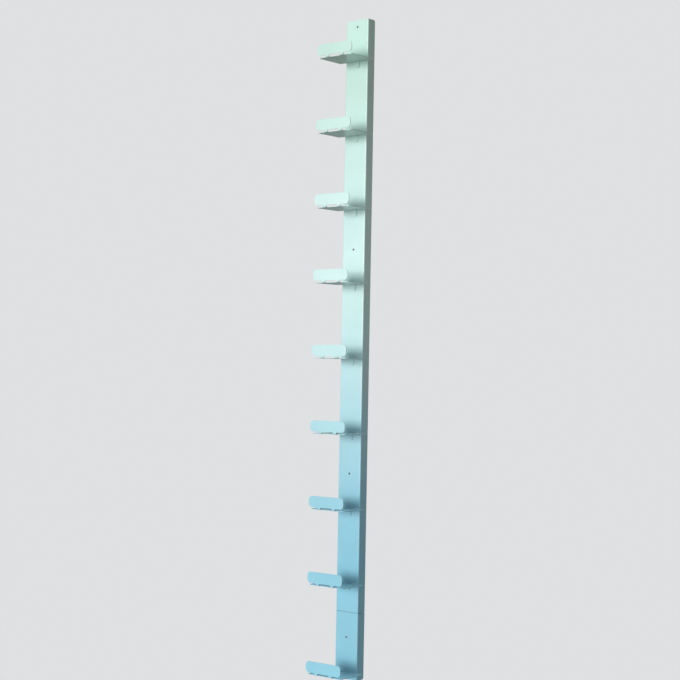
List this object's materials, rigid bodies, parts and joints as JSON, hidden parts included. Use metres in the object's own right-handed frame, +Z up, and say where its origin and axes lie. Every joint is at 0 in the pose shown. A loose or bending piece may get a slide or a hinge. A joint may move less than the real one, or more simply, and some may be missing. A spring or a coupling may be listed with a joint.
{
  "type": "wall-mounted cd rack",
  "caption": "Tall wall-mounted CD rack: a narrow painted steel spine with a column of bent-sheet trays, each with a floor and a low rounded front lip.",
  "frame": {"origin": "middle of the upper spine's three wall holes, on the wall plane", "axes": "+Z up along the spine, +Y into the wall, the front faces -Y, +X to the right seen from the front"},
  "size_m": [0.125, 0.127, 1.844],
  "materials": {
    "paint": "satin",
    "zinc_steel": "satin",
    "dark_steel": "matte",
    "nylon": "matte"
  },
  "bodies": {
    "root": {"spine_upper": "paint", "spine_lower": "paint", "tray_1": "paint", "tray_2": "paint", "tray_3": "paint", "tray_4": "paint", "tray_5": "paint", "tray_6": "paint", "tray_7": "paint", "tray_8": "paint", "tray_9": "paint", "splice_plate": "dark_steel", "splice_studs": "zinc_steel", "splice_nuts": "zinc_steel", "tray_studs": "zinc_steel", "tray_nuts": "zinc_steel", "wall_spacers": "nylon"}
  },
  "joints": []
}
